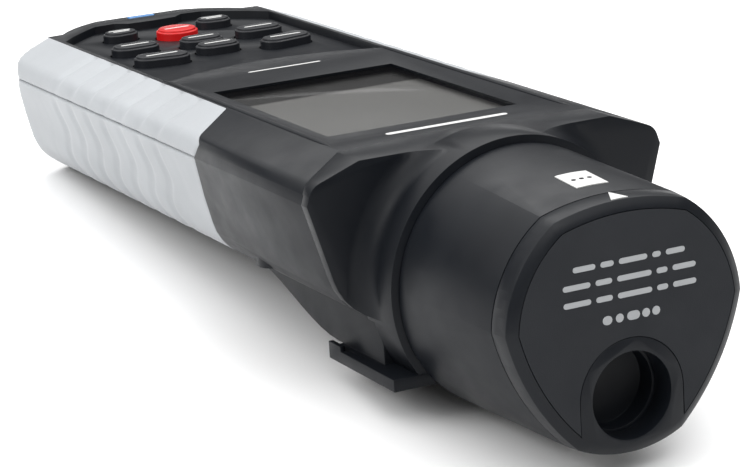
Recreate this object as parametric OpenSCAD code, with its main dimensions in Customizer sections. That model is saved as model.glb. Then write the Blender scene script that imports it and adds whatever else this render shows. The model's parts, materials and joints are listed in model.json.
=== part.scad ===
// Hand-held Geiger counter with a three-position filter dial on its nose.
// Origin: middle of the accessory plate's underside. +X is the instrument's right side,
// +Y points to the dial, +Z points out of the display.

/* [Case] */
// Width of the case across the grips
case_w = 89; // [84:1:92]
// Length of the case from the keypad end to the front of the head
case_l = 205; // [200:1:212]
// Height of the case from its bottom to the rim round the display
case_h = 36.5; // [35:0.5:38]
// Height of the lower shell
lower_h = 28.2; // [27:0.1:29]
// Wall thickness of the shells
wall = 2.4; // [2:0.1:2.6]
// Thickness of the soft grips
grip_t = 2; // [1.6:0.1:2.2]
// Length of the grips along the case
grip_l = 144; // [138:1:146]

/* [Display] */
// Width of the display window's opening
window_w = 49; // [46:0.2:50]
// Length of the display window's opening
window_l = 64; // [60:0.5:66]
// Depth of the window below the rim
window_drop = 1.8; // [1.6:0.1:2]

/* [Keypad] */
// Depth of the key field below the rim
field_drop = 2.2; // [1.8:0.1:2.4]
// How far a key stands above the key field
key_proud = 2.6; // [1.8:0.1:2.8]
// Travel of a key
key_travel = 1; // [0.6:0.1:1]
// Gap round each key
key_gap = 0.4; // [0.3:0.05:0.5]

/* [Dial] */
// Radius of the dial's rounded lobes
dial_r = 28.7; // [28.4:0.1:29]
// Length of the turning cap
cap_l = 6.4; // [6:0.1:7]
// Length of the fixed barrel behind the cap
barrel_l = 38.6; // [38:0.1:39]
// Radius of the barrel where it meets the head
barrel_r = 29.6; // [29.4:0.1:30]
// Radius of the hole that lets radiation in
port_r = 9.5; // [9:0.1:9.6]
// Distance from the dial's axis to the hole
port_out = 15.6; // [15.2:0.1:15.8]
// Angle from one filter to the next
filter_step = 90; // [90]

/* [Tube] */
// Radius of the counter tube
tube_r = 7.55; // [7:0.05:7.6]
// Length of the counter tube
tube_l = 49.2; // [46:0.2:50]

/* [Accessory plate] */
// Width of the plate under the head
plate_w = 64; // [60:1:66]
// Length of the plate
plate_l = 32; // [30:1:32]
// Thickness of the plate
plate_t = 2.8; // [2.4:0.1:3]
// Core radius of the tripod thread
thread_r = 2.6; // [2.5:0.05:2.7]

/* [Power] */
// Radius of one AA cell
cell_r = 7.2; // [7:0.1:7.25]
// Length of one AA cell
cell_l = 50; // [49:0.5:50.5]

/* [Hidden] */
$fn = 64;
half_w = case_w / 2;
case_bottom = 13;
case_top = case_bottom + case_h;
seam_z = case_bottom + lower_h;
head_front = plate_l / 2 - 11;
case_rear = head_front - case_l;
head_seam = head_front - 3;
grip_front = case_rear + grip_l;
floor_z = case_bottom + wall;

belly_r = 15;
belly_x = half_w - 19.5;
core_half = belly_x + 6;
rim_half = half_w - 13;
shoulder_x = half_w - 1.3;
shoulder_z = case_top - 4.2;
shoulder_r = 4;
end_arc_r = 33;
end_half = 27;
corner_r = 11;
corner_in = 25.5;
toe_r = 13;

window_top = case_top - window_drop;
window_t = 1.5;
window_front = head_front - 30;
window_lip = 0.7;
field_z = case_top - field_drop;
field_floor = field_z - wall;
field_front = window_front - window_l - 19;
groove_y = field_front + 4;

board_t = 1.6;
board_top = 39.6;
board_front = -12;
board_rear = case_rear + 17;

axis_z = 20.5;
head_face = head_front + 11;
head_hollow = half_w - 8;
barrel_rear = head_face + 0.5;
barrel_front = barrel_rear + barrel_l;
cap_rear = barrel_front + 0.3;
cap_front = cap_rear + cap_l;
label_t = 0.6;
flat_drop = 2.4;
pad_t = 0.2;
flat_back = 27.5;
collar_r = 31.3;
collar_fillet_r = 5;
bell_r = 28.9;
bush_h = 8;
bush_r = 4.6;
bush_boss_r = 7;
bulkhead_t = 8.6;
port_depth = 4.8;
bulkhead_rear = barrel_front - bulkhead_t;
spindle_r = 4;
spindle_play = 0.05;
spindle_rear = bulkhead_rear - 4;
tube_front = barrel_front - 5.2;
tube_rear = tube_front - tube_l;
tube_angle = 90;
foil_angle = tube_angle - filter_step;
port_angle = tube_angle - 2 * filter_step;
boss_angles = [30, 150, 210, 330];
boss_out = 22.2;
barrel_boss_r = 3.4;
detent_angle = 225;
detent_out = 22.5;
pad_angles = [90, 180, 270];
ball_r = 1.5;

door_w = 60;
door_l = 62;
door_t = 2.2;
door_rear = case_rear + 20;
door_front = door_rear + door_l;
cell_z = floor_z + cell_r + 0.4;
cell_pitch = 2 * cell_r + 0.3;
cell_mid = door_rear + 7 + cell_l / 2;
spring_l = 4;
contact_t = 0.8;
contact_half = 5.5;
bay_wall_half = 2 * cell_pitch + 0.2;
bay_wall_h = 12;
bay_walls = [cell_mid - cell_l / 2 - spring_l - contact_t - 1.6, cell_mid + cell_l / 2 + contact_t];

screw_r = 1.45;
screw_spots = [[33, -40], [-33, -40], [12, case_rear + 11], [-12, case_rear + 11]];
boss_r = 3.4;
screw_head_r = 2.8;
screw_head_z = case_bottom + 8;
boss_split = floor_z + 17;

// Right half of the key field, from the keypad end round to the arched step at the display
field_half = concat(
  [[0, case_rear + 13], [7, case_rear + 12.5], [10, case_rear + 9.5], [16, case_rear + 10],
   [20, case_rear + 13.5], [26, case_rear + 19.5], [rim_half - 1.2, case_rear + 25]],
  [for (i = [0 : 6]) let (t = 1 - i / 6) [(rim_half - 1.2) * t, groove_y - 8 * (1 - t * t)]]
);
key_field = concat(field_half, [for (i = [len(field_half) - 2 : -1 : 1]) [-field_half[i][0], field_half[i][1]]]);

// Keys: [name, x, y, half length, half height, tilt]. The last row leans along the groove.
key_rows = [
  ["key_mode", 13.8, -176.5, 4.9, 3.6, 8],
  ["key_power", 0, -169.5, 5.7, 5.7, 0],
  ["key_light", -13.8, -176.5, 4.9, 3.6, -8],
  ["key_up", 18, -155.5, 6.6, 4, 0],
  ["key_enter", 0, -153, 6, 4, 0],
  ["key_sound", -18, -155.5, 6.6, 4, 0],
  ["key_back", 17.8, -137.5, 7.4, 4, -12],
  ["key_down", 0, -142, 6, 4, 0],
  ["key_setup", -17.8, -137.5, 7.4, 4, 12],
];
key_top = field_z + key_proud;
flange_w = 1.2;
flange_top = field_floor - 0.2;
flange_t = 1.5;
stem_r = 2;

// ---- outlines of the case ----

function unit(v) = v / norm(v);
// Outward normal of the edge from a to b on an outline drawn anticlockwise
function edge_normal(a, b) = let (d = unit(b - a)) [d[1], -d[0]];
// The outline moved inwards by d
function inset(p, d) = let (n = len(p)) [
  for (i = [0 : n - 1])
    let (
      before = edge_normal(p[(i + n - 1) % n], p[i]),
      after = edge_normal(p[i], p[(i + 1) % n])
    )
    p[i] - d * (before + after) / (1 + before * after)
];
function mirrored(p) = [for (i = [len(p) - 1 : -1 : 0]) [-p[i][0], p[i][1]]];
function arc(c, r, from, to, n) =
  [for (i = [0 : n]) let (a = from + (to - from) * i / n) c + r * [cos(a), sin(a)]];

// Right half of the cross-section, from the bottom round to the rim
section_half = concat(
  arc([belly_x, case_bottom + belly_r], belly_r, -90, -16, 7),
  [[half_w, seam_z], [shoulder_x, shoulder_z], [rim_half, case_top]]
);
section = concat(section_half, mirrored(section_half));
// Arc of radius r that rounds the corner at b between a and c
function rounded_corner(a, b, c, r, n) =
  let (before = edge_normal(a, b), after = edge_normal(b, c))
    arc(b - r * (before + after) / (1 + before * after), r,
        atan2(before[1], before[0]), atan2(after[1], after[0]), n);
// The outside's half section, with the shoulder rounded
smooth_half = let (corner = len(section_half) - 2) concat(
  [for (i = [0 : corner - 1]) section_half[i]],
  rounded_corner(section_half[corner - 1], section_half[corner], section_half[corner + 1], shoulder_r, 4),
  [section_half[corner + 1]]
);
smooth_section = concat(smooth_half, mirrored(smooth_half));

// Seen from above: straight sides, round corners and a bowed keypad end
end_a = asin(end_half / end_arc_r);
function plan_half(front) = concat(
  arc([0, case_rear + end_arc_r], end_arc_r, -90 + end_a / 7, -90 + end_a, 6),
  arc([half_w - corner_r, case_rear + corner_in], corner_r, -75, 0, 5),
  [[half_w, front]]
);
function plan(front) = concat(plan_half(front), mirrored(plan_half(front)));

// Seen from the right: flat bottom with a rounded toe at the keypad end
function side_view(front) = concat(
  arc([case_rear + toe_r, case_bottom + toe_r], toe_r, 180, 270, 8),
  [[front, case_bottom], [front, case_top],
   [case_rear + 2.5, case_top], [case_rear, case_top - 3]]
);

module along_y(from, to) {
  translate([0, to, 0]) rotate([90, 0, 0]) linear_extrude(to - from) children();
}

module across_x(half) {
  rotate([90, 0, 90]) linear_extrude(2 * half, center = true) children();
}

// The whole case as one block up to a given front, moved inwards by d on every side
module case_block(d, front = head_front) {
  intersection() {
    along_y(case_rear - 1, front + 1) polygon(d > 0 ? inset(section, d) : smooth_section);
    linear_extrude(100) polygon(inset(plan(front), d));
    across_x(60) polygon(inset(side_view(front), d));
  }
}

module slab(x, y, z) {
  translate([x[0], y[0], z[0]]) cube([x[1] - x[0], y[1] - y[0], z[1] - z[0]]);
}

// The stretch that the soft grips cover, with its swept front edge
module grip_zone() {
  across_x(half_w + 5)
    polygon([[case_rear - 5, 0], [grip_front - 6, 0], [grip_front - 5, case_bottom + 5],
             [grip_front - 3, case_bottom + 18], [grip_front, seam_z],
             [grip_front + 1, shoulder_z - 1], [grip_front - 9, case_top],
             [grip_front - 9, case_top + 5], [case_rear - 5, case_top + 5]]);
}

// The hard shells' outside: full size at the head, slimmer under the grips
module case_skin() {
  difference() {
    case_block(0);
    difference() {
      grip_zone();
      case_block(grip_t);
      slab([-rim_half, rim_half], [case_rear - 6, 0], [seam_z, 60]);
      slab([-core_half, core_half], [case_rear - 6, 0], [0, seam_z]);
    }
  }
}

// Hollow inside the shells, open into the head
module cavity() {
  case_block(grip_t + wall, head_front + 20);
}

// The band of the head that belongs to the head cover
module head_band() {
  slab([-60, 60], [head_seam, head_front + 30], [-20, 60]);
  translate([0, 0, shoulder_z - 2]) linear_extrude(20)
    polygon([[-half_w, head_seam], [-rim_half, head_front - 10.5], [-12, head_front - 14],
             [12, head_front - 14], [rim_half, head_front - 10.5], [half_w, head_seam],
             [half_w, head_seam + 1], [-half_w, head_seam + 1]]);
}

module screw_holes(r) {
  for (s = screw_spots)
    translate([s[0], s[1], 0]) cylinder(h = 80, r = r);
}

// ---- case ----

module lower_shell() {
  color("#2b2e32") difference() {
    union() {
      difference() {
        intersection() {
          case_skin();
          slab([-60, 60], [case_rear - 5, head_seam], [0, seam_z]);
        }
        cavity();
      }
      for (s = screw_spots)
        translate([s[0], s[1], case_bottom + 4])
          cylinder(h = boss_split - case_bottom - 4, r = boss_r + 0.8);
      for (y = bay_walls)
        slab([-bay_wall_half, bay_wall_half], [y, y + 1.6], [case_bottom + 2, floor_z + bay_wall_h]);
    }
    screw_holes(screw_r + 0.1);
    for (s = screw_spots)
      translate([s[0], s[1], 0]) cylinder(h = screw_head_z, r = screw_head_r + 0.2);
    // battery opening, with a ledge for the door
    slab([-door_w / 2, door_w / 2], [door_rear, door_front], [0, case_bottom + door_t]);
    slab([-door_w / 2 + 1, door_w / 2 - 1], [bay_walls[0] + 1.6, bay_walls[1]],
         [0, floor_z + grip_t + 1]);
  }
}

module key_shape(k, grow) {
  translate([k[1], k[2]]) rotate(k[5]) {
    reach = k[3] - k[4];
    for (s = reach > 0 ? [-1, 1] : [0])
      translate([s * reach, 0]) circle(k[4] + grow);
    if (reach > 0)
      square([2 * reach, 2 * (k[4] + grow)], center = true);
  }
}

module upper_shell() {
  color("#2b2e32") difference() {
    union() {
      difference() {
        intersection() {
          case_skin();
          slab([-60, 60], [case_rear - 5, head_front], [seam_z, 60]);
        }
        head_band();
        intersection() {
          cavity();
          slab([-60, 60], [case_rear, head_front], [0, field_floor]);
        }
      }
      for (s = screw_spots)
        translate([s[0], s[1], boss_split]) cylinder(h = field_floor + 0.5 - boss_split, r = boss_r);
    }
    // key field, bounded by a raised rim with a wavy edge at the keypad end
    translate([0, 0, field_z]) linear_extrude(20) polygon(key_field);
    for (k = key_rows)
      linear_extrude(60) key_shape(k, key_gap);
    // window opening with a sloped surround
    slab([-window_w / 2, window_w / 2], [window_front - window_l, window_front], [30, 60]);
    hull() {
      slab([-window_w / 2, window_w / 2], [window_front - window_l, window_front],
           [window_top + window_lip, window_top + window_lip + 0.1]);
      slab([-rim_half + 2.5, rim_half - 2.5], [window_front - window_l - 10, window_front + 11],
           [case_top, case_top + 0.1]);
    }
    // pocket for the window from inside
    slab([-window_w / 2 - 2.2, window_w / 2 + 2.2],
         [window_front - window_l - 2.2, window_front + 2.2], [30, window_top]);
    for (s = screw_spots)
      translate([s[0], s[1], 0]) cylinder(h = field_floor - 0.5, r = screw_r + 0.05);
    translate([0, case_rear + 4.5, 40]) status_hole();
  }
}

module status_hole() {
  slab([-4, 4], [-1.1, 1.1], [0, 20]);
}

// ---- soft grips ----

// Soft skin on one side (1 right, -1 left), outside the hard black middle
module grip_skin(side, middle, low, high) {
  color("#c9ccd0") difference() {
    intersection() {
      case_block(0);
      grip_zone();
      slab(side > 0 ? [middle, 60] : [-60, -middle], [case_rear - 5, 0], [low, high]);
    }
    case_block(grip_t, head_front + 20);
  }
}

module upper_grip(side) { grip_skin(side, rim_half, seam_z, 60); }
module lower_grip(side) { grip_skin(side, core_half, 0, seam_z); }

module grip_upper_right() { upper_grip(1); }
module grip_upper_left() { upper_grip(-1); }
module grip_lower_right() { lower_grip(1); }
module grip_lower_left() { lower_grip(-1); }

// ---- head ----

module disc_y(r, from, to) {
  translate([0, from, axis_z]) rotate([-90, 0, 0]) cylinder(h = to - from, r = r, $fn = 96);
}

module cone_y(r_from, r_to, from, to) {
  translate([0, from, axis_z]) rotate([-90, 0, 0])
    cylinder(h = to - from, r1 = r_from, r2 = r_to, $fn = 96);
}

// A round hole or peg at a distance and an angle round the dial's axis
module around(angle, out) {
  translate([out * cos(angle), 0, out * sin(angle)]) children();
}

// Hollow curve between the collar and the head's front
module collar_fillet() {
  translate([0, head_front, axis_z]) rotate([-90, 0, 0]) rotate_extrude($fn = 96)
    polygon(concat(
      [[collar_r - 2, -1], [collar_r + collar_fillet_r, -1]],
      arc([collar_r + collar_fillet_r, collar_fillet_r], collar_fillet_r, -90, -180, 8),
      [[collar_r - 2, collar_fillet_r]]
    ));
}

module head_cover() {
  color("#26292d") difference() {
    union() {
      intersection() {
        case_block(0);
        head_band();
      }
      difference() {
        disc_y(collar_r, head_seam, head_face);
        slab([-60, 60], [-60, head_front], [-20, case_bottom]);
        slab([-60, 60], [-60, 60], [-20, plate_t]);
      }
      intersection() {
        collar_fillet();
        along_y(head_front - 1, head_face) polygon(smooth_section);
      }
      // swelling of the head's top towards the collar
      intersection() {
        cone_y(bell_r, collar_r, head_front - 14, head_front + 1);
        head_band();
        slab([-20, 20], [-20, head_front], [shoulder_z, 60]);
      }
    }
    // hollow of the head, open to the case behind it
    difference() {
      disc_y(collar_r - wall, head_seam - 1, head_face - wall);
      slab([-60, 60], [-60, 60], [-20, plate_t + wall]);
    }
    slab([-head_hollow, head_hollow], [-60, head_front - wall], [case_bottom + wall, field_floor]);
    cylinder(h = bush_h + 2, r = bush_boss_r + 0.3);
    around(tube_angle, port_out) disc_y(tube_r + 0.5, 0, 40);
    for (a = boss_angles) around(a, boss_out) disc_y(screw_r + 0.1, 0, 40);
  }
}

rail_profile = concat(
  [[head_front, case_bottom], [-64, case_bottom]],
  [for (i = [1 : 10]) let (t = i / 10)
    [-64 + 46 * t, case_bottom - 10.2 * (3 * t * t - 2 * t * t * t)]],
  [[head_front, plate_t]]
);

module rail_foot() {
  color("#26292d") difference() {
    union() {
      difference() {
        across_x(28.5) polygon(rail_profile);
        across_x(28.5 - wall) polygon(inset(rail_profile, wall));
      }
      slab([-plate_w / 2, plate_w / 2], [-plate_l / 2, plate_l / 2], [0, plate_t]);
      for (s = [-1, 1])
        translate([s * (plate_w / 2 - 0.6), -plate_l / 2, plate_t])
          slab([-0.6, 0.6], [0, 6], [-0.1, 1.2]);
      cylinder(h = bush_h + 1, r = bush_boss_r);
    }
    translate([0, 0, -1]) cylinder(h = bush_h + 1, r = bush_r);
  }
}

module tripod_bush() {
  color("#b08d4a") difference() {
    cylinder(h = bush_h, r = bush_r);
    translate([0, 0, -1]) cylinder(h = bush_h, r = thread_r);
  }
}

// ---- battery bay ----

module battery_door() {
  color("#26292d") difference() {
    intersection() {
      case_block(0);
      slab([-door_w / 2 + 0.3, door_w / 2 - 0.3], [door_rear, door_front - 0.3],
           [case_bottom - 1, case_bottom + door_t]);
    }
    for (i = [0 : 4])
      slab([-9, 9], [door_rear + 8 + i * 3, door_rear + 9.2 + i * 3],
           [case_bottom - 1, case_bottom + 0.5]);
  }
}

module battery_cells() {
  for (i = [0 : 3])
    color("#7d8288") translate([(i - 1.5) * cell_pitch, cell_mid - cell_l / 2, cell_z])
      rotate([-90, 0, 0]) {
        cylinder(h = cell_l - 1.2, r = cell_r);
        translate([0, 0, cell_l - 1.2]) cylinder(h = 1.2, r = 2.6);
      }
}

module battery_springs() {
  for (i = [0 : 3])
    color("#b9bcc0") translate([(i - 1.5) * cell_pitch, cell_mid - cell_l / 2 - spring_l, cell_z])
      rotate([-90, 0, 0]) difference() {
        cylinder(h = spring_l, r1 = 4.6, r2 = 3);
        translate([0, 0, -1]) cylinder(h = 6, r = 2.2);
      }
}

module battery_plates() {
  for (i = [0 : 3])
    color("#b9bcc0")
      translate([(i - 1.5) * cell_pitch, 0, cell_z]) {
        for (y = [bay_walls[1] - contact_t, bay_walls[0] + 1.6])
          slab([-contact_half, contact_half], [y, y + contact_t], [-contact_half, contact_half]);
      }
}

// ---- display and keys ----

module display_window() {
  color("#9fb0b8", 0.5)
    slab([-window_w / 2 - 2, window_w / 2 + 2],
         [window_front - window_l - 2, window_front + 2], [window_top - window_t, window_top]);
}

module lcd_panel() {
  color("#7c7c7a")
    slab([-window_w / 2 - 1.6, window_w / 2 + 1.6],
         [window_front - window_l - 1.6, window_front + 1.6],
         [board_top, window_top - window_t]);
}

module main_board() {
  color("#2f5f43") difference() {
    translate([0, 0, board_top - board_t]) linear_extrude(board_t)
      polygon([[-22, board_rear], [22, board_rear], [34, board_rear + 8], [34, board_front],
               [-34, board_front], [-34, board_rear + 8]]);
    for (s = screw_spots)
      translate([s[0], s[1], 0]) cylinder(h = 80, r = 3.8);
  }
}

module keypad_mat() {
  color("#3a3d41") difference() {
    slab([-25.5, 25.5], [board_rear + 2, field_front - 4], [board_top, board_top + 1.4]);
    for (k = key_rows)
      translate([k[1], k[2], 0]) cylinder(h = 80, r = stem_r + 0.5);
    for (s = screw_spots)
      translate([s[0], s[1], 0]) cylinder(h = 80, r = 3.8);
  }
}

module key(i, tint) {
  k = key_rows[i];
  color(tint) {
    translate([0, 0, flange_top - 0.1]) linear_extrude(key_top - 0.6 - flange_top + 0.1)
      key_shape(k, 0);
    translate([0, 0, key_top - 0.7]) linear_extrude(0.7) key_shape(k, -0.6);
    translate([0, 0, flange_top - flange_t]) linear_extrude(flange_t) key_shape(k, flange_w);
    translate([k[1], k[2], board_top + key_travel + 0.2])
      cylinder(h = flange_top - board_top - key_travel - 0.7, r = stem_r);
  }
}

module key_mode() { key(0, "#303338"); }
module key_power() { key(1, "#d01818"); }
module key_light() { key(2, "#303338"); }
module key_up() { key(3, "#303338"); }
module key_enter() { key(4, "#303338"); }
module key_sound() { key(5, "#303338"); }
module key_back() { key(6, "#303338"); }
module key_down() { key(7, "#303338"); }
module key_setup() { key(8, "#303338"); }

module status_light() {
  color("#2a6fb5") translate([0, case_rear + 4.5, 0])
    slab([-4, 4], [-1.1, 1.1], [field_z - 2, field_z + 0.6]);
}

// ---- dial ----

// Round outline with three shallow flats, tapering along the axis. The flats lie
// drop_from and drop_to inside the round part at the two ends.
module lobed(r_from, r_to, drop_from, drop_to, from, to) {
  intersection() {
    cone_y(r_from, r_to, from, to);
    around(270, flat_back) cone_y(flat_back + r_from - drop_from, flat_back + r_to - drop_to, from, to);
    around(30, flat_back) cone_y(flat_back + r_from - drop_from, flat_back + r_to - drop_to, from, to);
    around(150, flat_back) cone_y(flat_back + r_from - drop_from, flat_back + r_to - drop_to, from, to);
  }
}

// Outline of the barrel's front end, grown by d
module lobed_outline(d) {
  intersection() {
    circle(dial_r + d, $fn = 96);
    translate(flat_back * [cos(270), -sin(270)]) circle(flat_back + dial_r - flat_drop + d, $fn = 180);
    translate(flat_back * [cos(30), -sin(30)]) circle(flat_back + dial_r - flat_drop + d, $fn = 180);
    translate(flat_back * [cos(150), -sin(150)]) circle(flat_back + dial_r - flat_drop + d, $fn = 180);
  }
}

// Barrel's outside: round at the head and blending to the lobed outline at the cap
module barrel_body(d) {
  translate([0, 0, axis_z]) rotate([-90, 0, 0]) hull() {
    translate([0, 0, barrel_rear]) linear_extrude(0.5) circle(barrel_r + d, $fn = 96);
    translate([0, 0, barrel_front - 0.5]) linear_extrude(0.5) lobed_outline(d);
  }
}

module dial_barrel() {
  color("#2b2e32") difference() {
    union() {
      difference() {
        union() {
          barrel_body(0);
          disc_y(barrel_r - 3, head_face, barrel_rear + 1);
        }
        disc_y(barrel_r - 4.8, barrel_rear + 2, bulkhead_rear);
      }
      for (a = boss_angles) around(a, boss_out) disc_y(barrel_boss_r, barrel_rear + 1, barrel_rear + 9);
    }
    around(tube_angle, port_out) {
      disc_y(tube_r + 0.5, barrel_rear - 2, barrel_front + 1);
      disc_y(port_r, barrel_front - port_depth, barrel_front + 1);
    }
    around(port_angle, port_out) disc_y(port_r - 0.5, barrel_front - port_depth, barrel_front + 1);
    disc_y(spindle_r + spindle_play, bulkhead_rear - 1, barrel_front + 1);
    for (a = boss_angles) around(a, boss_out) disc_y(screw_r + 0.05, barrel_rear - 2, barrel_rear + 8);
    around(detent_angle, detent_out) disc_y(ball_r + 0.1, barrel_front - 6, barrel_front + 1);
  }
}

module barrel_screws() {
  color("#9a9da1") for (a = boss_angles) around(a, boss_out) {
    disc_y(2.6, head_face - wall - 1.8, head_face - wall);
    disc_y(screw_r, head_face - wall - 0.5, barrel_rear + 7);
  }
}

module position_pads() {
  color("#e8e8e6") difference() {
    intersection() {
      barrel_body(pad_t);
      for (a = pad_angles)
        translate([0, 0, axis_z]) rotate([0, 90 - a, 0])
          slab([-3.8, 3.8], [barrel_front - 14.5, barrel_front - 5.5], [20, 40]);
    }
    barrel_body(0);
  }
}

module dial_cap() {
  color("#26292d") difference() {
    union() {
      lobed(dial_r, dial_r - 0.4, flat_drop, flat_drop, cap_rear, cap_front - 1.4);
      lobed(dial_r - 0.4, dial_r - 2.7, flat_drop, flat_drop, cap_front - 1.4, cap_front);
    }
    around(port_angle, port_out) disc_y(port_r, cap_rear - 1, cap_front + 1);
    around(tube_angle, port_out) disc_y(port_r, cap_rear - 1, cap_rear + 3.2);
    around(foil_angle, port_out) {
      disc_y(port_r, cap_rear - 1, cap_rear + 3.2);
      disc_y(port_r - 2, cap_rear, cap_front + 1);
    }
    disc_y(spindle_r, cap_rear - 1, cap_rear + 4);
    for (i = [0 : 2])
      around(detent_angle - i * filter_step, detent_out) disc_y(1, cap_rear - 1, cap_rear + 0.6);
    label_pocket(0);
  }
}

// Shallow pocket for the label, which leaves an arch round the hole
module label_pocket(gap) {
  difference() {
    lobed(26 - gap, 26 - gap, flat_drop, flat_drop, cap_front - label_t, cap_front + 1);
    around(port_angle, port_out) {
      disc_y(12.4 + gap, cap_front - 3, cap_front + 3);
      translate([0, 0, axis_z - 12])
        slab([-12.4 - gap, 12.4 + gap], [cap_front - 3, cap_front + 3], [-12, 12]);
    }
  }
}

module dial_label() {
  color("#44474b") intersection() {
    label_pocket(0.15);
    disc_y(40, cap_front - label_t, cap_front);
  }
}

module pointer_mark() {
  color("#e8e8e6") difference() {
    intersection() {
      lobed(dial_r + pad_t, dial_r - 0.4 + pad_t, flat_drop, flat_drop, cap_rear, cap_front - 1.4);
      translate([0, 0, axis_z + 20]) linear_extrude(10)
        polygon([[0, cap_rear + 0.3], [2, cap_rear + 4.6], [-2, cap_rear + 4.6]]);
    }
    lobed(dial_r, dial_r - 0.4, flat_drop, flat_drop, cap_rear, cap_front - 1.4);
  }
}

module beta_filter() {
  color("#c7cacd") around(foil_angle, port_out) disc_y(port_r - 0.1, cap_rear + 2.8, cap_rear + 3.2);
}

module gamma_shield() {
  color("#8b8f94") around(tube_angle, port_out) disc_y(port_r - 0.1, cap_rear + 0.4, cap_rear + 3.2);
}

module dial_spindle() {
  color("#b9bcc0") difference() {
    disc_y(spindle_r, spindle_rear, cap_rear + 4);
    difference() {
      disc_y(spindle_r + 1, bulkhead_rear - 2, bulkhead_rear - 1);
      disc_y(spindle_r - 0.8, bulkhead_rear - 2, bulkhead_rear - 1);
    }
  }
}

module spindle_clip() {
  color("#6f7276") difference() {
    disc_y(spindle_r + 2.5, bulkhead_rear - 1.9, bulkhead_rear - 1.1);
    disc_y(spindle_r - 0.7, bulkhead_rear - 3, bulkhead_rear);
    slab([-1.6, 1.6], [bulkhead_rear - 3, bulkhead_rear], [axis_z, axis_z + 9]);
  }
}

module detent_balls() {
  color("#d0d2d4") around(detent_angle, detent_out)
    translate([0, barrel_front - 1.3, axis_z]) sphere(ball_r, $fn = 48);
}

module detent_springs() {
  color("#b9bcc0") around(detent_angle, detent_out) difference() {
    disc_y(1.3, barrel_front - 6, barrel_front - 2.9);
    disc_y(0.8, barrel_front - 7, barrel_front - 2);
  }
}

// ---- counter tube and electronics ----

module at_tube() {
  around(tube_angle, port_out) children();
}

module counter_tube() {
  color("#aeb2b6") at_tube() difference() {
    disc_y(tube_r, tube_rear, tube_front);
    disc_y(tube_r - 0.8, tube_rear + 2, tube_front + 1);
  }
}

module tube_window() {
  color("#c8b98a", 0.6) at_tube() disc_y(tube_r - 0.8, tube_front - 1, tube_front - 0.7);
}

module tube_screen() {
  color("#c7cacd") at_tube() difference() {
    disc_y(tube_r - 0.8, tube_front - 0.6, tube_front);
    for (x = [-2 : 2], z = [-2 : 2])
      if (x * x + z * z < 7)
        translate([x * 3.4, 0, z * 3.4]) disc_y(1.35, tube_front - 2, tube_front + 1);
  }
}

module tube_rings() {
  color("#3a3d41") for (y = [head_face - wall, bulkhead_rear])
    at_tube() difference() {
      disc_y(tube_r + 0.45, y, y + 2.4);
      disc_y(tube_r, y - 1, y + 4);
    }
}

module tube_socket() {
  color("#d8d4c6") at_tube() {
    disc_y(5, tube_rear - 3, tube_rear);
    disc_y(2, tube_rear - 5, tube_rear - 3);
  }
}

module hv_board() {
  color("#2f5f43") slab([-26, 20], [-58, -14], [28, 29.6]);
}

module hv_transformer() {
  color("#5c4a2e") {
    slab([2, 16], [-44, -30], [29.6, 35]);
    translate([-12, -37, 29.6]) cylinder(h = 6, r = 4);
  }
}

module board_pillars() {
  color("#b08d4a") for (x = [-23, 17], y = [-55, -17])
    translate([x, y, 29.6]) cylinder(h = board_top - board_t - 29.6, r = 1.8);
}

module buzzer() {
  color("#1d1f22") difference() {
    translate([18, -95, board_top - board_t - 5]) cylinder(h = 5, r = 8);
    translate([18, -95, board_top - board_t - 6]) cylinder(h = 4, r = 1.2);
  }
}

module case_screws() {
  color("#9a9da1") for (s = screw_spots)
    translate([s[0], s[1], screw_head_z]) {
      translate([0, 0, -2.6]) cylinder(h = 2.6, r = screw_head_r);
      translate([0, 0, -1]) cylinder(h = 20, r = screw_r);
    }
}

lower_shell();
upper_shell();
head_cover();
rail_foot();
tripod_bush();
grip_upper_right();
grip_upper_left();
grip_lower_right();
grip_lower_left();
battery_door();
display_window();
lcd_panel();
main_board();
keypad_mat();
key_mode();
key_power();
key_light();
key_up();
key_enter();
key_sound();
key_back();
key_down();
key_setup();
status_light();
dial_barrel();
barrel_screws();
position_pads();
dial_cap();
dial_label();
pointer_mark();
beta_filter();
gamma_shield();
dial_spindle();
spindle_clip();
detent_balls();
detent_springs();
counter_tube();
tube_window();
tube_screen();
tube_rings();
tube_socket();
hv_board();
hv_transformer();
board_pillars();
buzzer();
battery_cells();
battery_springs();
battery_plates();
case_screws();
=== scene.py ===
# %% [markdown]
# # A hand-held Geiger counter
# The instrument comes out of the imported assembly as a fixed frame: every casing, key and screw is
# already in its place. This lesson gives each piece the surface that a maker would give it:
# softened moulding edges, finger grooves in the soft grips, rounded keys and printed marks.

# %% Load the frame
import json
import math

import bmesh
import bpy
from mathutils import Matrix, Vector
from mathutils.bvhtree import BVHTree


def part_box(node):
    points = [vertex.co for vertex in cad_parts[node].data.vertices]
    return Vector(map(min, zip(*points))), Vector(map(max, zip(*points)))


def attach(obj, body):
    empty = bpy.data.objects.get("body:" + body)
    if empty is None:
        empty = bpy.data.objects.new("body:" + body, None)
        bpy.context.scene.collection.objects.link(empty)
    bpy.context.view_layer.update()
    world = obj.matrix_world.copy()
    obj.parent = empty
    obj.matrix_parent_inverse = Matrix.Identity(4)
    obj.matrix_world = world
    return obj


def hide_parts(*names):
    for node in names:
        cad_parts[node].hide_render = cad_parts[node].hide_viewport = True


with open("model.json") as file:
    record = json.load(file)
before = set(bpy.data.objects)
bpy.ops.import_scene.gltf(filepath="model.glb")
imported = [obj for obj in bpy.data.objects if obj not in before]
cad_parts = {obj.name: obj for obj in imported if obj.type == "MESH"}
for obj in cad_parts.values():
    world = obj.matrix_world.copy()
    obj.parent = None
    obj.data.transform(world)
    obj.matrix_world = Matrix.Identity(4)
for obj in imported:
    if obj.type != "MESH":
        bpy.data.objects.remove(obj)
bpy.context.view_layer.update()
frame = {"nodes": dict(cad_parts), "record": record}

MM = 0.001
body_of = {}
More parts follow.
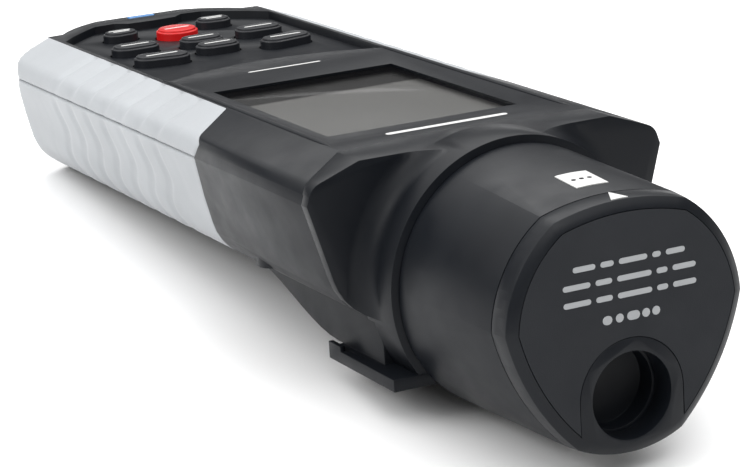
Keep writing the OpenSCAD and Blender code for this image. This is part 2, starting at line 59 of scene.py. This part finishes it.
for body_name, nodes in frame["record"]["behaviour"]["bodies"].items():
    for node_name in nodes:
        body_of[node_name] = body_name
slot_of = {part["node"]: part["material_slot"] for part in frame["record"]["subparts"]}
made = []

# %% [markdown]
# ## How a moulded surface is described
# Real plastic is never one even colour. A mould is spark-eroded, so its grain is a fine bump, the
# pigment drifts a little over a hand's width, and fingers polish some places more than others.
# One helper builds all three from noise, so that every finish below is a few named values.
# Values that are the same all over go straight on the shader's sockets.

# %% A grained finish
def new_material(name):
    material = bpy.data.materials.new(name)
    material.use_nodes = True
    tree = material.node_tree
    tree.nodes.clear()
    out = tree.nodes.new("ShaderNodeOutputMaterial")
    shader = tree.nodes.new("ShaderNodeBsdfPrincipled")
    tree.links.new(shader.outputs["BSDF"], out.inputs["Surface"])
    return material, tree, shader


def noise(tree, scale, detail=3.0, stretch=(1, 1, 1)):
    where = tree.nodes.new("ShaderNodeTexCoord")
    mapping = tree.nodes.new("ShaderNodeMapping")
    mapping.inputs["Scale"].default_value = stretch
    texture = tree.nodes.new("ShaderNodeTexNoise")
    texture.inputs["Scale"].default_value = scale
    texture.inputs["Detail"].default_value = detail
    tree.links.new(where.outputs["Object"], mapping.inputs["Vector"])
    tree.links.new(mapping.outputs["Vector"], texture.inputs["Vector"])
    return texture.outputs["Fac"]


def spread(tree, value, low, high):
    ramp = tree.nodes.new("ShaderNodeMapRange")
    ramp.inputs["From Min"].default_value = 0.3
    ramp.inputs["From Max"].default_value = 0.7
    ramp.inputs["To Min"].default_value = low
    ramp.inputs["To Max"].default_value = high
    tree.links.new(value, ramp.inputs["Value"])
    return ramp.outputs["Result"]


def tint(tree, value, dark, light):
    ramp = tree.nodes.new("ShaderNodeValToRGB")
    ramp.color_ramp.elements[0].position = 0.3
    ramp.color_ramp.elements[1].position = 0.7
    ramp.color_ramp.elements[0].color = (*dark, 1)
    ramp.color_ramp.elements[1].color = (*light, 1)
    tree.links.new(value, ramp.inputs["Fac"])
    return ramp.outputs["Color"]


def bump(tree, shader, height, strength, distance):
    node = tree.nodes.new("ShaderNodeBump")
    node.inputs["Strength"].default_value = strength
    node.inputs["Distance"].default_value = distance
    tree.links.new(height, node.inputs["Height"])
    tree.links.new(node.outputs["Normal"], shader.inputs["Normal"])


def shade(colour, amount):
    return tuple(min(1.0, max(0.0, c * amount)) for c in colour)


def grained(name, colour, rough, grain=2600, depth=0.12, drift=0.12, polish=0.06, metal=0.0,
            stretch=(1, 1, 1), gloss=0.5, sheen=0.0, coat=0.0):
    """A finish with pigment drift, uneven polish and a fine bump."""
    material, tree, shader = new_material(name)
    shader.inputs["Metallic"].default_value = metal
    shader.inputs["Specular IOR Level"].default_value = gloss
    shader.inputs["Sheen Weight"].default_value = sheen
    shader.inputs["Coat Weight"].default_value = coat
    patch = noise(tree, 38, 4, stretch)
    tree.links.new(tint(tree, patch, shade(colour, 1 - drift), shade(colour, 1 + drift)),
                   shader.inputs["Base Color"])
    wear = noise(tree, 120, 3, stretch)
    tree.links.new(spread(tree, wear, rough - polish, rough + polish), shader.inputs["Roughness"])
    bump(tree, shader, noise(tree, grain, 2, stretch), depth, 0.00012)
    return material


# %% [markdown]
# ## The finishes
# Three blacks do most of the work. The casing is a satin ABS, the dial a slightly smoother one, and
# the label on the dial a matt printed film that reads dark grey beside them. The soft grips are a
# pale thermoplastic rubber: rougher, with a faint sheen, and its grain catches dust.

# %% Plastics and rubbers
CASE_BLACK = (0.0050, 0.0062, 0.0086)
GRIP_GREY = (0.335, 0.350, 0.366)

finish = {
    "case_black": grained("satin casing plastic", CASE_BLACK, 0.42, drift=0.12, depth=0.10, gloss=0.19),
    "dial_black": grained("satin dial plastic", CASE_BLACK, 0.40, drift=0.12, depth=0.07, gloss=0.19),
    "soft_grip": grained("soft grip rubber", GRIP_GREY, 0.58, grain=1900, depth=0.16, drift=0.05, sheen=0.1),
    "key_rubber": grained("key rubber", (0.008, 0.009, 0.012), 0.42, grain=2200, depth=0.12, gloss=0.25),
    "dark_rubber": grained("dark silicone", (0.03, 0.03, 0.033), 0.6, grain=1500, depth=0.2),
    "power_red": grained("red key rubber", (0.50, 0.006, 0.006), 0.34, grain=2200, depth=0.10,
                         drift=0.08, gloss=0.3),
    "label_grey": grained("matt label film", (0.013, 0.0145, 0.0175), 0.60, grain=3800, depth=0.2,
                          drift=0.08, gloss=0.2),
    "white_print": grained("white print", (0.60, 0.60, 0.59), 0.5, grain=3000, depth=0.05, drift=0.03),
    "indicator_blue": grained("blue light guide", (0.02, 0.16, 0.42), 0.2, grain=700, depth=0.05, coat=0.5),
    "ivory_plastic": grained("ivory socket plastic", (0.62, 0.57, 0.45), 0.5),
    "component": grained("component resin", (0.035, 0.032, 0.030), 0.45, grain=900, depth=0.25),
    "cell_jacket": grained("printed cell jacket", (0.24, 0.26, 0.28), 0.32, metal=0.6, stretch=(1, 0.05, 1)),
}
pale_ink = grained("pale grey ink", (0.30, 0.31, 0.32), 0.55, grain=3000, depth=0.05, drift=0.03)
print(len(finish), "plastic and rubber finishes")

# %% [markdown]
# ## Metals
# Turned and drawn metal shows its making as fine lines along one direction. Stretching the noise
# ten to one along the instrument gives brushed steel from the same helper that made the plastics.

# %% Metals
finish["steel"] = grained("brushed steel", (0.56, 0.56, 0.56), 0.3, grain=1500, depth=0.25,
                          drift=0.05, metal=1.0, stretch=(1, 0.1, 1))
finish["brass"] = grained("turned brass", (0.70, 0.50, 0.22), 0.28, grain=1500, depth=0.2, drift=0.06,
                          metal=1.0, stretch=(1, 1, 0.1))
finish["aluminium_filter"] = grained("rolled aluminium", (0.34, 0.35, 0.36), 0.42, grain=1800, depth=0.2,
                                     drift=0.05, metal=1.0, stretch=(0.1, 1, 1))

# %% [markdown]
# ## Circuit board
# Solder mask is a clear green lacquer over copper tracks. A brick pattern in bump and colour gives
# the straight runs of the tracks without drawing a real circuit.

# %% Circuit board
def circuit_board():
    material, tree, shader = new_material("green solder mask")
    where = tree.nodes.new("ShaderNodeTexCoord")
    tracks = tree.nodes.new("ShaderNodeTexBrick")
    tracks.inputs["Scale"].default_value = 120
    tracks.inputs["Mortar Size"].default_value = 0.03
    tracks.inputs["Color1"].default_value = (0.012, 0.10, 0.045, 1)
    tracks.inputs["Color2"].default_value = (0.014, 0.12, 0.052, 1)
    tracks.inputs["Mortar"].default_value = (0.03, 0.20, 0.09, 1)
    tree.links.new(where.outputs["Object"], tracks.inputs["Vector"])
    tree.links.new(tracks.outputs["Color"], shader.inputs["Base Color"])
    bump(tree, shader, tracks.outputs["Fac"], 0.3, 0.0001)
    shader.inputs["Roughness"].default_value = 0.3
    return material


finish["circuit_board"] = circuit_board()

# %% [markdown]
# ## Clear window, panel and mica
# The display is switched off, so it is a grey reflective panel behind a clear window. The window
# only tints and reflects. Its surface has a very slight waviness, as moulded acrylic has.

# %% Window, display panel and mica
def clear(name, colour, alpha, rough):
    material, tree, shader = new_material(name)
    shader.inputs["Base Color"].default_value = (*colour, 1)
    shader.inputs["Alpha"].default_value = alpha
    shader.inputs["IOR"].default_value = 1.49
    tree.links.new(spread(tree, noise(tree, 60), rough, rough + 0.05), shader.inputs["Roughness"])
    bump(tree, shader, noise(tree, 25, 1), 0.05, 0.0002)
    return material


# Width of the dark band across the keypad end of the display panel, which has a soft 1.5 mm edge.
DARK_BAND_WIDTH = 13 * MM
finish["clear_window"] = clear("clear acrylic", (0.05, 0.05, 0.055), 0.14, 0.04)
finish["mica"] = clear("mica sheet", (0.45, 0.36, 0.20), 0.6, 0.15)


def display_panel():
    """Grey liquid crystal, dark in a band across its keypad end."""
    material, tree, shader = new_material("liquid-crystal panel")
    low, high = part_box("lcd_panel")
    where = tree.nodes.new("ShaderNodeTexCoord")
    split = tree.nodes.new("ShaderNodeSeparateXYZ")
    dark_band = tree.nodes.new("ShaderNodeMapRange")
    dark_band.inputs["From Min"].default_value = low.y + DARK_BAND_WIDTH
    dark_band.inputs["From Max"].default_value = low.y + DARK_BAND_WIDTH + 1.5 * MM
    blend = tree.nodes.new("ShaderNodeMix")
    blend.data_type = "RGBA"
    blend.inputs["A"].default_value = (0.020, 0.020, 0.019, 1)
    tree.links.new(where.outputs["Object"], split.inputs["Vector"])
    tree.links.new(split.outputs["Y"], dark_band.inputs["Value"])
    tree.links.new(dark_band.outputs["Result"], blend.inputs["Factor"])
    tree.links.new(tint(tree, noise(tree, 20), (0.135, 0.134, 0.128), (0.150, 0.149, 0.143)), blend.inputs["B"])
    tree.links.new(blend.outputs["Result"], shader.inputs["Base Color"])
    bump(tree, shader, noise(tree, 300, 2), 0.02, 0.0001)
    shader.inputs["Roughness"].default_value = 0.4
    shader.inputs["Specular IOR Level"].default_value = 0.3
    return material


finish["lcd"] = display_panel()

for node_name, node_object in frame["nodes"].items():
    node_object.data.materials.clear()
    node_object.data.materials.append(finish[slot_of[node_name]])
print("finished", len(frame["nodes"]), "nodes")

# %% [markdown]
# ## Softened mouldings
# A mould never leaves a sharp edge, and a highlight along each edge is what makes plastic read as
# plastic. Each hard casing gets a copy of its own solid whose corners are rounded by a bevel, and
# the copy stands for the solid. Curved stretches are shaded smooth, flat ones stay flat.

# %% Rounded copies of the hard pieces
WELD = 0.002 * MM
FLAT_WITHIN = math.radians(0.4)
BEVEL_ABOVE = math.radians(32)
SMOOTH_BELOW = 34


def copy_of(node_name, piece_name):
    source = frame["nodes"][node_name]
    mesh = source.data.copy()
    mesh.name = piece_name
    piece = bpy.data.objects.new(piece_name, mesh)
    bpy.context.scene.collection.objects.link(piece)
    bm = bmesh.new()
    bm.from_mesh(mesh)
    bmesh.ops.remove_doubles(bm, verts=bm.verts, dist=WELD)
    bmesh.ops.dissolve_limit(bm, angle_limit=FLAT_WITHIN, verts=bm.verts, edges=bm.edges)
    bm.to_mesh(mesh)
    bm.free()
    return piece


def apply_modifiers(piece):
    graph = bpy.context.evaluated_depsgraph_get()
    graph.update()
    mesh = bpy.data.meshes.new_from_object(piece.evaluated_get(graph))
    piece.modifiers.clear()
    old = piece.data
    piece.data = mesh
    bpy.data.meshes.remove(old)


def smooth_by_angle(piece, degrees):
    mesh = piece.data
    mesh.shade_smooth()
    mesh.set_sharp_from_angle(angle=math.radians(degrees))


def settle(piece, node_name):
    """The piece rides where its node rides, and stands for it."""
    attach(piece, body_of[node_name])
    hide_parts(node_name)
    made.append(piece.name)


def add_piece(piece_name, bm, body_name, material):
    """A piece with no solid of its own, made from a finished mesh."""
    bmesh.ops.recalc_face_normals(bm, faces=bm.faces)
    mesh = bpy.data.meshes.new(piece_name)
    bm.to_mesh(mesh)
    bm.free()
    mesh.materials.append(material)
    piece = bpy.data.objects.new(piece_name, mesh)
    bpy.context.scene.collection.objects.link(piece)
    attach(piece, body_name)
    made.append(piece_name)
    return piece


def rounded(node_name, radius, segments=2):
    piece = copy_of(node_name, node_name + "_moulding")
    bevel = piece.modifiers.new("edges", "BEVEL")
    bevel.width = radius * MM
    bevel.segments = segments
    bevel.limit_method = "ANGLE"
    bevel.angle_limit = BEVEL_ABOVE
    bevel.use_clamp_overlap = True
    apply_modifiers(piece)
    smooth_by_angle(piece, SMOOTH_BELOW)
    settle(piece, node_name)


for node_name, radius in (("upper_shell", 0.5), ("lower_shell", 0.5), ("head_cover", 0.7), ("rail_foot", 0.5),
                          ("battery_door", 0.3), ("dial_cap", 0.6), ("dial_barrel", 0.25),
                          ("display_window", 0.2)):
    rounded(node_name, radius)
print("rounded", len(made), "mouldings")

# %% Rounded keys
for node_name in frame["nodes"]:
    if node_name.startswith("key_"):
        rounded(node_name, 0.55, 3)

# %% [markdown]
# ## Status light
# The light guide at the keypad end is a clear blue bar. It is pushed up through its slot until its
# rounded top stands just clear of the rim, so that it can be seen from the nose as well.

# %% Status light
GUIDE_PROUD = 0.3 * MM
light_guide = copy_of("status_light", "status_light_moulding")
case_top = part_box("upper_shell")[1].z
low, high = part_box("status_light")
for vert in light_guide.data.vertices:
    if vert.co.z > (low.z + high.z) / 2:
        vert.co.z = case_top + GUIDE_PROUD
dome = light_guide.modifiers.new("dome", "BEVEL")
dome.width = 0.5 * MM
dome.segments = 3
apply_modifiers(light_guide)
smooth_by_angle(light_guide, 40)
settle(light_guide, "status_light")

# %% [markdown]
# ## Soft grips
# The grips are moulded over the shells and carry shallow finger grooves that lean with the hand.
# The solid is remeshed into small even squares, relaxed so that its corners round off, and then
# pushed in along its own normals where a groove runs. Doing it in this order keeps the grooves crisp.

# %% Grip surface
GROOVE_PITCH = 11.5 * MM
GROOVE_DEPTH = 0.6 * MM
SEAM_FADE = 4 * MM
GRIP_VOXEL = 0.75 * MM
groove_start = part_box("grip_lower_right")[0].y + 24 * MM
groove_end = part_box("grip_lower_right")[1].y - 12 * MM
seam_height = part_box("grip_upper_right")[0].z


def groove_depth(place):
    """How far the surface is pushed in at a place: narrow dips that lean and curve away from the seam."""
    away = (place.z - seam_height) / (20 * MM)
    along = place.y - 5 * MM * away * abs(away) - 1.2 * MM * math.sin(9 * away)
    wave = 0.5 + 0.5 * math.cos(2 * math.pi * along / GROOVE_PITCH)
    fade_in = min(1.0, max(0.0, (along - groove_start) / (14 * MM)))
    fade_out = min(1.0, max(0.0, (groove_end - along) / (14 * MM)))
    off_seam = min(1.0, 0.15 + abs(place.z - seam_height) / SEAM_FADE)
    return GROOVE_DEPTH * wave ** 4 * fade_in * fade_out * off_seam


def soft_grip(node_name):
    piece = copy_of(node_name, node_name + "_skin")
    remesh = piece.modifiers.new("even", "REMESH")
    remesh.mode = "VOXEL"
    remesh.voxel_size = GRIP_VOXEL
    relax = piece.modifiers.new("relax", "SMOOTH")
    relax.factor = 0.5
    relax.iterations = 5
    apply_modifiers(piece)
    bm = bmesh.new()
    bm.from_mesh(piece.data)
    bm.normal_update()
    side = 1 if node_name.endswith("right") else -1
    for vert in bm.verts:
        if vert.normal.x * side > -0.2:
            vert.co -= vert.normal * groove_depth(vert.co)
    bm.to_mesh(piece.data)
    bm.free()
    piece.data.shade_smooth()
    piece.data.materials.clear()
    piece.data.materials.append(finish["soft_grip"])
    print(node_name, "skin has", len(piece.data.polygons), "faces")
    settle(piece, node_name)


for node_name in ("grip_upper_right", "grip_upper_left", "grip_lower_right", "grip_lower_left"):
    soft_grip(node_name)

# %% [markdown]
# ## Printed marks
# Pad printing lays a film of ink a few hundredths of a millimetre thick. The keys of such a meter
# carry short legends, the dial's pads say which filter is in front of the tube, and the nose has a
# block of small print. Here the legends are plain dashes, dots and rules: they show where the print
# sits and how large it is, without spelling anything. Each mark is a thin solid with round ends that
# is dropped on to the surface below it, so it stays on a curved pad as well as on a flat key.

# %% Marks
INK = 0.05 * MM
SUNK = 0.03 * MM
END_STEPS = 6


skins = {}


def skin_of(node_name):
    """The visible surface of a piece, ready to be searched."""
    if node_name not in skins:
        shown = bpy.data.objects.get(node_name + "_moulding") or frame["nodes"][node_name]
        corners = [shown.matrix_world @ vert.co for vert in shown.data.vertices]
        skins[node_name] = BVHTree.FromPolygons(corners, [face.vertices[:] for face in shown.data.polygons])
    return skins[node_name]


def landing(node_name, above, direction):
    """The point of the piece's surface that is met from a place in a direction."""
    place = skin_of(node_name).ray_cast(Vector(above), Vector(direction))[0]
    if place is None:
        raise RuntimeError("nothing of " + node_name + " below the mark")
    return place


def add_dash(bm, centre, right, up, half_length, half_height):
    """A flat bar with round ends, as thick as a film of ink."""
    normal = right.cross(up)
    straight = max(half_length - half_height, 0)
    rim = []
    for side in (1, -1):
        for step in range(END_STEPS + 1):
            angle = math.pi * (step / END_STEPS - 0.5)
            along = side * (straight + half_height * math.cos(angle))
            rim.append(centre + right * along + up * side * half_height * math.sin(angle))
    foot = [bm.verts.new(place - normal * SUNK) for place in rim]
    top = [bm.verts.new(place + normal * INK) for place in rim]
    bm.faces.new(top)
    bm.faces.new(list(reversed(foot)))
    for i in range(len(rim)):
        j = (i + 1) % len(rim)
        bm.faces.new((foot[i], foot[j], top[j], top[i]))


def print_marks(piece_name, body_name, slot_name, marks, ink=None):
    """marks is a list of (centre, right, up, half length, half height)."""
    bm = bmesh.new()
    for mark in marks:
        add_dash(bm, *mark)
    add_piece(piece_name, bm, body_name, ink or finish[slot_name])


EAST, NORTH, UP, DOWN = Vector((1, 0, 0)), Vector((0, 1, 0)), Vector((0, 0, 1)), Vector((0, 0, -1))

# %% Key legends
bpy.context.view_layer.update()
LEGEND_LINES = {"key_mode": 2, "key_light": 2}
LEGEND_PITCH = 1.5 * MM
LEGEND_HALF_HEIGHT = 0.42 * MM
LEGEND_SHARE = 0.26
for node_name in sorted(node for node in frame["nodes"] if node.startswith("key_")):
    low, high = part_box(node_name)
    middle = (low + high) / 2
    lines = LEGEND_LINES.get(node_name, 1)
    half_length = LEGEND_SHARE * (high.x - low.x)
    legend = []
    for line in range(lines):
        offset = (line - (lines - 1) / 2) * LEGEND_PITCH
        above = (middle.x, middle.y + offset, high.z + MM)
        spot = landing(node_name, above, DOWN)
        legend.append((spot, EAST, NORTH, half_length * (1 - 0.25 * line), LEGEND_HALF_HEIGHT))
    print_marks(node_name + "_legend", body_of[node_name], "white_print", legend)

# %% Pad and case marks
DIAL_AXIS_HEIGHT = 20.5 * MM
DOT_PITCH = 1.9 * MM
DOT_RADIUS = 0.55 * MM
OUTSIDE = 40 * MM
dial_axis = Vector((0, 0, DIAL_AXIS_HEIGHT))
low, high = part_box("position_pads")
pad_middle = (low.y + high.y) / 2
dots = []
for count, outward in ((3, UP), (2, Vector((-1, 0, 0))), (1, DOWN)):
    across = NORTH.cross(outward)
    for i in range(count):
        shift = (i - (count - 1) / 2) * DOT_PITCH
        start = dial_axis + NORTH * pad_middle + outward * OUTSIDE + across * shift
        spot = landing("position_pads", start, -outward)
        dots.append((spot, across, outward.cross(across), DOT_RADIUS, DOT_RADIUS))
print_marks("pad_dots", "case", "dial_black", dots)

display_low, display_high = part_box("display_window")
name_line = display_high.y + 9.5 * MM
type_line = display_low.y - 9 * MM
rules = []
for y, half_length, half_height in ((name_line, 15.5 * MM, 0.9 * MM), (type_line, 10 * MM, 0.45 * MM)):
    spot = landing("upper_shell", (0, y, case_top + MM), DOWN)
    rules.append((spot, EAST, NORTH, half_length, half_height))
print_marks("case_rules", "case", "white_print", rules)

# %% Small print on the nose
LABEL_ROWS = ((1.5, 15, 0.95), (6.2, 33, 0.6), (9.8, 33, 0.6), (13.4, 28, 0.6))
WORDS = (0.16, 0.09, 0.22, 0.12, 0.18)
WORD_GAP = 1.2
label_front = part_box("dial_label")[1].y
small_print = []
for height, width, half_height in LABEL_ROWS:
    left = -width / 2
    for word in WORDS:
        length = width * word / sum(WORDS) - WORD_GAP
        centre = Vector(((left + length / 2) * MM, label_front, dial_axis.z + height * MM))
        small_print.append((centre, -EAST, UP, length / 2 * MM, half_height * MM))
        left += length + WORD_GAP
print_marks("label_print", "dial", "white_print", small_print, pale_ink)
print(len(made), "pieces so far")

# %% [markdown]
# ## Ribs beside the display
# A low bead runs along each side of the display, from the keypad to the head. It keeps the window off
# a table when the meter lies on its face. It is a half-round swept along the case with tapered ends.

# %% Ribs
RIB_HALF_WIDTH = 0.8 * MM
RIB_HEIGHT = 0.5 * MM
RIB_TAPER = 6 * MM
RIB_STEPS = 24
RIB_SIDES = 8
RIB_SMOOTH_BELOW = 60
RIB_X = 30.3 * MM


def display_rib(piece_name, x, start, end):
    bm = bmesh.new()
    rings = []
    for step in range(RIB_STEPS + 1):
        y = start + (end - start) * step / RIB_STEPS
        taper = min(1.0, (y - start) / RIB_TAPER, (end - y) / RIB_TAPER)
        size = math.sqrt(max(0.02, taper))
        ring = []
        for i in range(RIB_SIDES + 1):
            angle = math.pi * i / RIB_SIDES
            ring.append(bm.verts.new((x + RIB_HALF_WIDTH * size * math.cos(angle), y,
                                      case_top - SUNK + RIB_HEIGHT * size * math.sin(angle))))
        rings.append(ring)
    for a, b in zip(rings, rings[1:]):
        for i in range(len(a)):
            j = (i + 1) % len(a)
            bm.faces.new((a[i], a[j], b[j], b[i]))
    bm.faces.new(rings[0])
    bm.faces.new(rings[-1])
    rib = add_piece(piece_name, bm, "case", finish["case_black"])
    smooth_by_angle(rib, RIB_SMOOTH_BELOW)


for piece_name, x in (("display_rib_right", RIB_X), ("display_rib_left", -RIB_X)):
    display_rib(piece_name, x, display_low.y - 16 * MM, display_high.y + 12 * MM)
print(made[-2:], "follow the display")

# %% [markdown]
# ## Studio
# A pale floor and three broad soft lights are enough. The meter rests on the rear of its barrel and
# on the keypad end, so the floor lies along that line, and the camera looks at the nose.

# %% Camera
CAMERA_AZIMUTH = math.radians(154.09)
CAMERA_ELEVATION = math.radians(14.74)
CAMERA_ROLL = math.radians(-3.76)
CAMERA_PLACE = Vector((0.28764, 0.53783, 0.18864))


def camera_axes(azimuth, elevation, roll):
    back = Vector((math.sin(azimuth) * math.cos(elevation), -math.cos(azimuth) * math.cos(elevation),
                   math.sin(elevation)))
    right = Vector((0, 0, 1)).cross(back).normalized()
    up = back.cross(right)
    turned_right = right * math.cos(roll) + up * math.sin(roll)
    turned_up = up * math.cos(roll) - right * math.sin(roll)
    return Matrix((turned_right, turned_up, back)).transposed()


lens = bpy.data.cameras.new("camera")
lens.sensor_width = 36
lens.lens = 135.7
camera = bpy.data.objects.new("camera", lens)
camera.matrix_world = camera_axes(CAMERA_AZIMUTH, CAMERA_ELEVATION, CAMERA_ROLL).to_4x4()
camera.location = CAMERA_PLACE
bpy.context.scene.collection.objects.link(camera)
bpy.context.scene.camera = camera

# %% Floor
TOE = 13 * MM


def make_floor():
    barrel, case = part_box("dial_barrel")[0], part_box("lower_shell")[0]
    tilt = math.atan2(case.z - barrel.z, barrel.y - case.y - TOE)
    reach = 40.0
    bm = bmesh.new()
    bmesh.ops.create_grid(bm, x_segments=8, y_segments=8, size=reach)
    mesh = bpy.data.meshes.new("floor")
    bm.to_mesh(mesh)
    bm.free()
    floor = bpy.data.objects.new("floor", mesh)
    floor.rotation_euler.x = -tilt
    floor.location = (0, barrel.y, barrel.z - 0.15 * MM)
    bpy.context.scene.collection.objects.link(floor)
    material, tree, shader = new_material("pale floor")
    shader.inputs["Roughness"].default_value = 0.9
    tree.links.new(tint(tree, noise(tree, 3), (0.92, 0.92, 0.92), (0.95, 0.95, 0.95)),
                   shader.inputs["Base Color"])
    mesh.materials.append(material)
    return floor


floor = make_floor()

# %% Lights
def soft_light(name, place, aim, size, watts):
    lamp = bpy.data.lights.new(name, "AREA")
    lamp.shape = "RECTANGLE"
    lamp.size = size[0]
    lamp.size_y = size[1]
    lamp.energy = watts
    light = bpy.data.objects.new(name, lamp)
    light.location = place
    light.rotation_euler = (Vector(aim) - Vector(place)).to_track_quat("-Z", "Y").to_euler()
    bpy.context.scene.collection.objects.link(light)


MIDDLE = (0, -0.06, 0.02)
soft_light("side", (0.85, -0.05, 0.55), MIDDLE, (0.7, 0.4), 3.0)
soft_light("front", (0.05, 0.8, 0.85), MIDDLE, (0.6, 0.3), 2.2)
soft_light("top", (-0.3, -0.5, 0.9), MIDDLE, (0.9, 0.5), 3.5)


# %% [markdown]
# ## Overhead light
# A product table has one broad soft box above it and a dark room round it. Black plastic shows that
# at once: seen along its surface it mirrors whatever stands low behind it, so a white room would
# turn it grey. The surroundings are therefore dim near the horizon and bright overhead.

# %% Overhead soft box
LOW_LIGHT = 0.10
HIGH_LIGHT = 2.1


def studio_world():
    world = bpy.data.worlds.new("studio")
    world.use_nodes = True
    tree = world.node_tree
    where = tree.nodes.new("ShaderNodeTexCoord")
    split = tree.nodes.new("ShaderNodeSeparateXYZ")
    ramp = tree.nodes.new("ShaderNodeMapRange")
    ramp.interpolation_type = "SMOOTHSTEP"
    ramp.inputs["From Min"].default_value = 0.25
    ramp.inputs["From Max"].default_value = 0.85
    ramp.inputs["To Min"].default_value = LOW_LIGHT
    ramp.inputs["To Max"].default_value = HIGH_LIGHT
    tree.links.new(where.outputs["Generated"], split.inputs["Vector"])
    tree.links.new(split.outputs["Z"], ramp.inputs["Value"])
    tree.links.new(ramp.outputs["Result"], tree.nodes["Background"].inputs["Strength"])
    tree.nodes["Background"].inputs["Color"].default_value = (1, 1, 1, 1)
    return world


bpy.context.scene.world = studio_world()
bpy.context.scene.view_settings.view_transform = "Standard"
